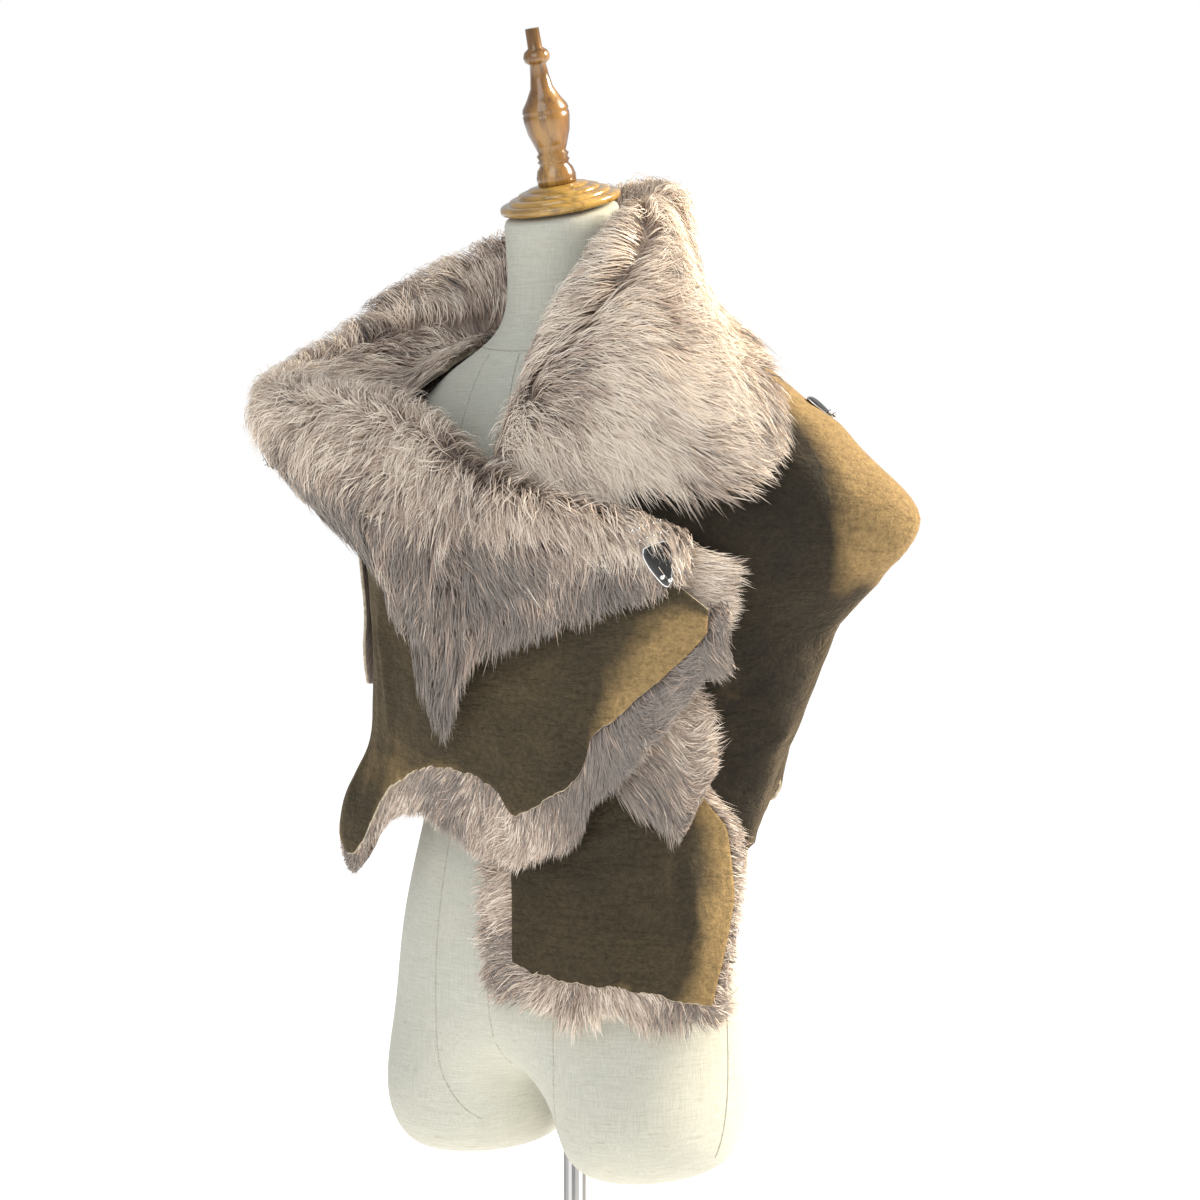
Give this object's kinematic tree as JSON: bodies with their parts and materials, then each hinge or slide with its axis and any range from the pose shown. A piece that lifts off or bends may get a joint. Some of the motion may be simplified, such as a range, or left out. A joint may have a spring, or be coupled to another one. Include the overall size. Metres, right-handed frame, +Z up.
{
  "type": "fur cape on a dress form",
  "caption": "Wrapped cape of suede-faced lambskin with a wide rolled long-fur collar, hooked at the breast, on a linen dress form with a turned wood finial and a chrome stand.",
  "frame": {"origin": "centre of the floor plate's underside, on the floor under the pole", "axes": "+Z up along the pole; -Y is the form's front, +X its left side"},
  "size_m": [0.5491, 0.3749, 1.6595],
  "materials": {
    "chrome": "polished",
    "linen": "matt woven linen",
    "varnished_wood": "gloss varnish",
    "suede": "napped suede",
    "fur": "long lambskin fur",
    "black_clasp": "black gloss"
  },
  "bodies": {
    "root": {"floor_plate": "chrome", "pole_socket": "chrome", "pole": "chrome", "dress_form": "linen", "neck_cap": "varnished_wood", "finial": "varnished_wood", "left_wing": "suede", "back_panel": "suede", "right_wing": "suede", "left_front": "suede", "left_front_fur": "fur", "left_revers": "fur", "right_front": "suede", "right_front_fur": "fur", "collar_right": "fur", "collar_back": "fur", "collar_left": "fur", "front_clasp": "black_clasp", "left_clasp": "black_clasp", "right_clasp": "black_clasp"}
  },
  "joints": []
}
